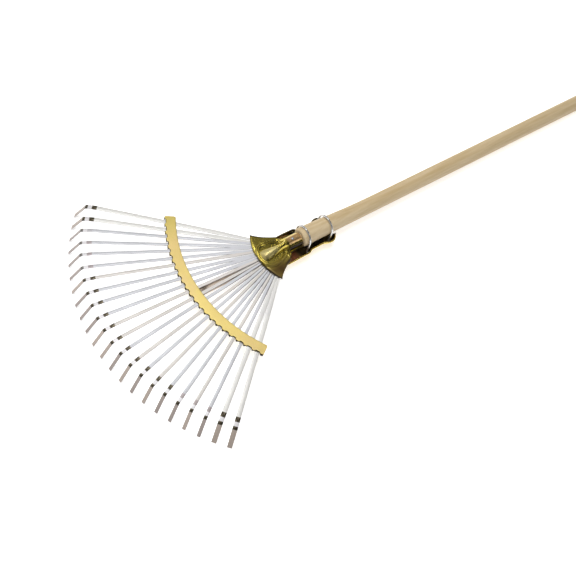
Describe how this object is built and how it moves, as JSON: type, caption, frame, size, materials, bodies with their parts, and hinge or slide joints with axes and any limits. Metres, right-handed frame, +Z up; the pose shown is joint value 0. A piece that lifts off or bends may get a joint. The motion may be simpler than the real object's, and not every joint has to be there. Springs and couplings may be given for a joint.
{
  "type": "leaf rake",
  "caption": "Adjustable leaf rake: flat spring tines fan out of a sheet-metal hood on a wooden handle; a sliding spreader bar sets the width.",
  "frame": {"origin": "Bottom centre of the whole rake as it lies on a floor, resting on its two outer tine tips and on the butt of the handle.", "axes": "+X along the handle towards its butt, +Y across the fan, +Z up."},
  "size_m": [1.58, 0.498, 0.0626],
  "materials": {
    "ash_wood": "bare, fine-sanded",
    "brass_plate": "bright yellow-passivated, olive in the shade",
    "pale_brass": "pale yellow-passivated",
    "spring_steel": "polished",
    "wire_chrome": "polished",
    "zinc": "zinc plated"
  },
  "bodies": {
    "head": {"carrier_rivet_1": "zinc", "carrier_rivet_2": "zinc", "carrier_rivet_3": "zinc", "handle": "ash_wood", "hood": "brass_plate", "neck_nail": "zinc", "tine_carrier_lower": "zinc", "tine_carrier_upper": "zinc"},
    "spreader": {"bar_rivet_1": "pale_brass", "bar_rivet_2": "pale_brass", "bar_rivet_3": "pale_brass", "bar_rivet_4": "pale_brass", "bar_rivet_5": "pale_brass", "centre_stay": "spring_steel", "saddle_front": "zinc", "saddle_rear": "zinc", "slide_trough": "brass_plate", "spreader_bar": "pale_brass", "spreader_strip": "pale_brass", "stay_rivet_1": "zinc", "stay_rivet_2": "zinc"},
    "tine_01": {"tine_01": "spring_steel"},
    "tine_02": {"tine_02": "spring_steel"},
    "tine_03": {"tine_03": "spring_steel"},
    "tine_04": {"tine_04": "spring_steel"},
    "tine_05": {"tine_05": "spring_steel"},
    "tine_06": {"tine_06": "spring_steel"},
    "tine_07": {"tine_07": "spring_steel"},
    "tine_08": {"tine_08": "spring_steel"},
    "tine_09": {"tine_09": "spring_steel"},
    "tine_10": {"tine_10": "spring_steel"},
    "tine_11": {"tine_11": "spring_steel"},
    "tine_12": {"tine_12": "spring_steel"},
    "tine_13": {"tine_13": "spring_steel"},
    "tine_14": {"tine_14": "spring_steel"},
    "tine_15": {"tine_15": "spring_steel"},
    "tine_16": {"tine_16": "spring_steel"},
    "tine_17": {"tine_17": "spring_steel"},
    "tine_18": {"tine_18": "spring_steel"},
    "tine_19": {"tine_19": "spring_steel"},
    "tine_20": {"tine_20": "spring_steel"},
    "tine_21": {"tine_21": "spring_steel"},
    "tine_22": {"tine_22": "spring_steel"},
    "bail_front": {"lock_bail_front": "wire_chrome"},
    "bail_rear": {"lock_bail_rear": "wire_chrome"}
  },
  "joints": [
    {"name": "fan_adjust", "type": "slide", "parent": "head", "child": "spreader", "axis": [0.9998, 0, -0.0178], "range_m": [-0.025, 0.035]},
    {"name": "tine_01_swing", "type": "hinge", "parent": "head", "child": "tine_01", "pos_m": [-0.4532, 0.0281, 0.03155], "axis": [0.0178, 0, 0.9998], "range_deg": [-8.12, 5.82]},
    {"name": "tine_02_swing", "type": "hinge", "parent": "head", "child": "tine_02", "pos_m": [-0.45508, 0.02586, 0.03158], "axis": [0.0178, 0, 0.9998], "range_deg": [-7.65, 5.48]},
    {"name": "tine_03_swing", "type": "hinge", "parent": "head", "child": "tine_03", "pos_m": [-0.4568, 0.02349, 0.03161], "axis": [0.0178, 0, 0.9998], "range_deg": [-7.11, 5.09]},
    {"name": "tine_04_swing", "type": "hinge", "parent": "head", "child": "tine_04", "pos_m": [-0.45836, 0.021, 0.03164], "axis": [0.0178, 0, 0.9998], "range_deg": [-6.49, 4.65]},
    {"name": "tine_05_swing", "type": "hinge", "parent": "head", "child": "tine_05", "pos_m": [-0.45973, 0.01841, 0.03166], "axis": [0.0178, 0, 0.9998], "range_deg": [-5.8, 4.16]},
    {"name": "tine_06_swing", "type": "hinge", "parent": "head", "child": "tine_06", "pos_m": [-0.46092, 0.01573, 0.03168], "axis": [0.0178, 0, 0.9998], "range_deg": [-5.04, 3.62]},
    {"name": "tine_07_swing", "type": "hinge", "parent": "head", "child": "tine_07", "pos_m": [-0.46193, 0.01298, 0.0317], "axis": [0.0178, 0, 0.9998], "range_deg": [-4.22, 3.03]},
    {"name": "tine_08_swing", "type": "hinge", "parent": "head", "child": "tine_08", "pos_m": [-0.46274, 0.01016, 0.03172], "axis": [0.0178, 0, 0.9998], "range_deg": [-3.36, 2.41]},
    {"name": "tine_09_swing", "type": "hinge", "parent": "head", "child": "tine_09", "pos_m": [-0.46335, 0.00729, 0.03173], "axis": [0.0178, 0, 0.9998], "range_deg": [-2.44, 1.76]},
    {"name": "tine_10_swing", "type": "hinge", "parent": "head", "child": "tine_10", "pos_m": [-0.46375, 0.00439, 0.03173], "axis": [0.0178, 0, 0.9998], "range_deg": [-1.5, 1.08]},
    {"name": "tine_11_swing", "type": "hinge", "parent": "head", "child": "tine_11", "pos_m": [-0.46396, 0.00147, 0.03174], "axis": [0.0178, 0, 0.9998], "range_deg": [-0.54, 0.4]},
    {"name": "tine_12_swing", "type": "hinge", "parent": "head", "child": "tine_12", "pos_m": [-0.46396, -0.00147, 0.03174], "axis": [0.0178, 0, 0.9998], "range_deg": [-0.4, 0.54]},
    {"name": "tine_13_swing", "type": "hinge", "parent": "head", "child": "tine_13", "pos_m": [-0.46375, -0.00439, 0.03173], "axis": [0.0178, 0, 0.9998], "range_deg": [-1.08, 1.5]},
    {"name": "tine_14_swing", "type": "hinge", "parent": "head", "child": "tine_14", "pos_m": [-0.46335, -0.00729, 0.03173], "axis": [0.0178, 0, 0.9998], "range_deg": [-1.76, 2.44]},
    {"name": "tine_15_swing", "type": "hinge", "parent": "head", "child": "tine_15", "pos_m": [-0.46274, -0.01016, 0.03172], "axis": [0.0178, 0, 0.9998], "range_deg": [-2.41, 3.36]},
    {"name": "tine_16_swing", "type": "hinge", "parent": "head", "child": "tine_16", "pos_m": [-0.46193, -0.01298, 0.0317], "axis": [0.0178, 0, 0.9998], "range_deg": [-3.03, 4.22]},
    {"name": "tine_17_swing", "type": "hinge", "parent": "head", "child": "tine_17", "pos_m": [-0.46092, -0.01573, 0.03168], "axis": [0.0178, 0, 0.9998], "range_deg": [-3.62, 5.04]},
    {"name": "tine_18_swing", "type": "hinge", "parent": "head", "child": "tine_18", "pos_m": [-0.45973, -0.01841, 0.03166], "axis": [0.0178, 0, 0.9998], "range_deg": [-4.16, 5.8]},
    {"name": "tine_19_swing", "type": "hinge", "parent": "head", "child": "tine_19", "pos_m": [-0.45836, -0.021, 0.03164], "axis": [0.0178, 0, 0.9998], "range_deg": [-4.65, 6.49]},
    {"name": "tine_20_swing", "type": "hinge", "parent": "head", "child": "tine_20", "pos_m": [-0.4568, -0.02349, 0.03161], "axis": [0.0178, 0, 0.9998], "range_deg": [-5.09, 7.11]},
    {"name": "tine_21_swing", "type": "hinge", "parent": "head", "child": "tine_21", "pos_m": [-0.45508, -0.02586, 0.03158], "axis": [0.0178, 0, 0.9998], "range_deg": [-5.48, 7.65]},
    {"name": "tine_22_swing", "type": "hinge", "parent": "head", "child": "tine_22", "pos_m": [-0.4532, -0.0281, 0.03155], "axis": [0.0178, 0, 0.9998], "range_deg": [-5.82, 8.12]},
    {"name": "bail_front_rock", "type": "hinge", "parent": "spreader", "child": "bail_front", "pos_m": [-0.39169, 0, 0.01945], "axis": [0, 1, 0], "range_deg": [-8, 0]},
    {"name": "bail_rear_rock", "type": "hinge", "parent": "spreader", "child": "bail_rear", "pos_m": [-0.3442, 0, 0.01861], "axis": [0, 1, 0], "range_deg": [-8, 0]}
  ],
  "couplings": [
    {"joint": "tine_01_swing", "follows": "fan_adjust", "rad_per_m": -4.025},
    {"joint": "tine_02_swing", "follows": "fan_adjust", "rad_per_m": -3.7906},
    {"joint": "tine_03_swing", "follows": "fan_adjust", "rad_per_m": -3.5187},
    {"joint": "tine_04_swing", "follows": "fan_adjust", "rad_per_m": -3.2101},
    {"joint": "tine_05_swing", "follows": "fan_adjust", "rad_per_m": -2.8661},
    {"joint": "tine_06_swing", "follows": "fan_adjust", "rad_per_m": -2.4889},
    {"joint": "tine_07_swing", "follows": "fan_adjust", "rad_per_m": -2.0816},
    {"joint": "tine_08_swing", "follows": "fan_adjust", "rad_per_m": -1.6481},
    {"joint": "tine_09_swing", "follows": "fan_adjust", "rad_per_m": -1.1932},
    {"joint": "tine_10_swing", "follows": "fan_adjust", "rad_per_m": -0.72246},
    {"joint": "tine_11_swing", "follows": "fan_adjust", "rad_per_m": -0.24192},
    {"joint": "tine_12_swing", "follows": "fan_adjust", "rad_per_m": 0.24192},
    {"joint": "tine_13_swing", "follows": "fan_adjust", "rad_per_m": 0.72246},
    {"joint": "tine_14_swing", "follows": "fan_adjust", "rad_per_m": 1.1932},
    {"joint": "tine_15_swing", "follows": "fan_adjust", "rad_per_m": 1.6481},
    {"joint": "tine_16_swing", "follows": "fan_adjust", "rad_per_m": 2.0816},
    {"joint": "tine_17_swing", "follows": "fan_adjust", "rad_per_m": 2.4889},
    {"joint": "tine_18_swing", "follows": "fan_adjust", "rad_per_m": 2.8661},
    {"joint": "tine_19_swing", "follows": "fan_adjust", "rad_per_m": 3.2101},
    {"joint": "tine_20_swing", "follows": "fan_adjust", "rad_per_m": 3.5187},
    {"joint": "tine_21_swing", "follows": "fan_adjust", "rad_per_m": 3.7906},
    {"joint": "tine_22_swing", "follows": "fan_adjust", "rad_per_m": 4.025}
  ]
}
